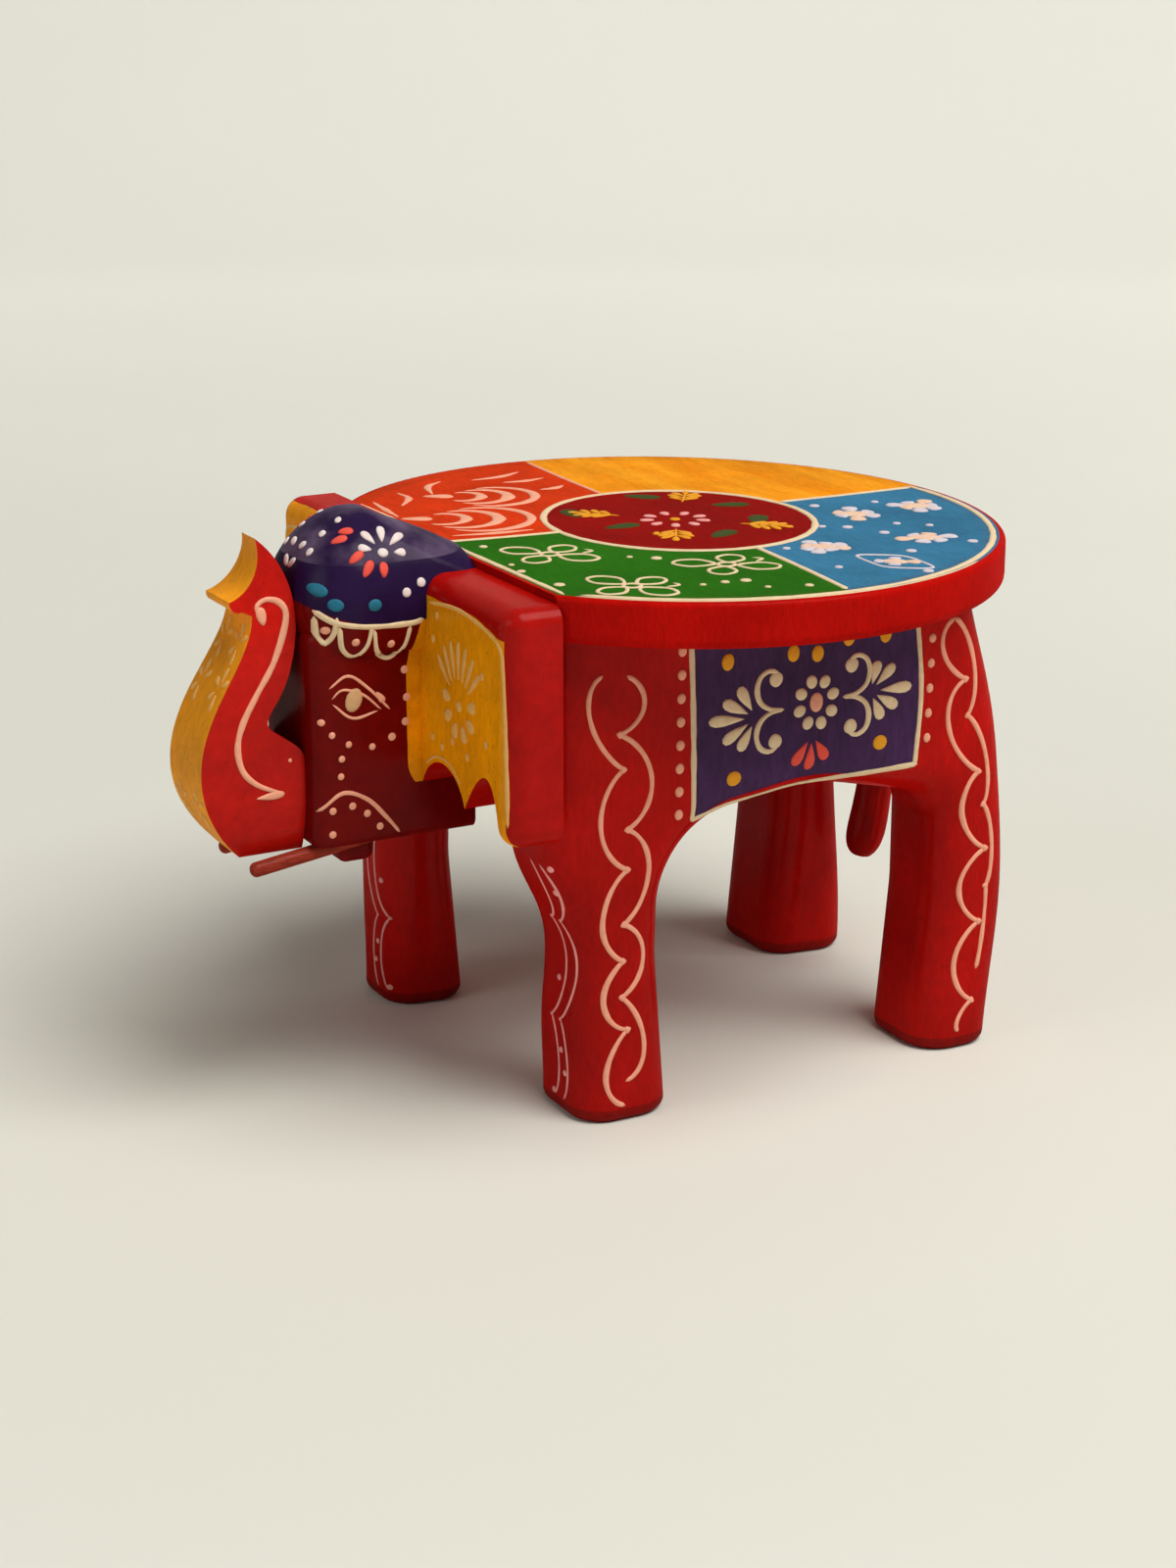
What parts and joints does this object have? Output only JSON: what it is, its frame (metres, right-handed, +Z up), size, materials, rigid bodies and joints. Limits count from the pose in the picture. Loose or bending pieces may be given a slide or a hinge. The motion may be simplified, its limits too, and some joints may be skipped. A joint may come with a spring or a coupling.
{
  "type": "elephant stool",
  "caption": "Low carved wooden stool in the shape of a standing elephant, with an oval seat on its back, a raised trunk and folk painting all over.",
  "frame": {"origin": "on the floor, under the middle of the whole stool's bounding box", "axes": "+Z up, the head and trunk towards -Y, the elephant's left side towards +X"},
  "size_m": [0.2036, 0.2422, 0.1658],
  "materials": {
    "painted_seat": "satin varnish over four painted quarters",
    "red_painted_wood": "satin varnish over red paint",
    "dark_red_painted_wood": "satin varnish over dark red and purple paint",
    "yellow_and_red_painted_wood": "satin varnish over yellow and red paint",
    "dull_red_wood": "thin red stain",
    "bare_wood": "unpainted"
  },
  "bodies": {
    "root": {"seat_board": "painted_seat", "body_block": "red_painted_wood", "head": "dark_red_painted_wood", "trunk": "red_painted_wood", "ear_left": "yellow_and_red_painted_wood", "ear_right": "yellow_and_red_painted_wood", "tusk_left": "dull_red_wood", "tusk_right": "dull_red_wood", "tail": "red_painted_wood", "seat_dowels": "bare_wood", "head_dowels": "bare_wood", "trunk_dowels": "bare_wood", "ear_dowels": "bare_wood"}
  },
  "joints": []
}
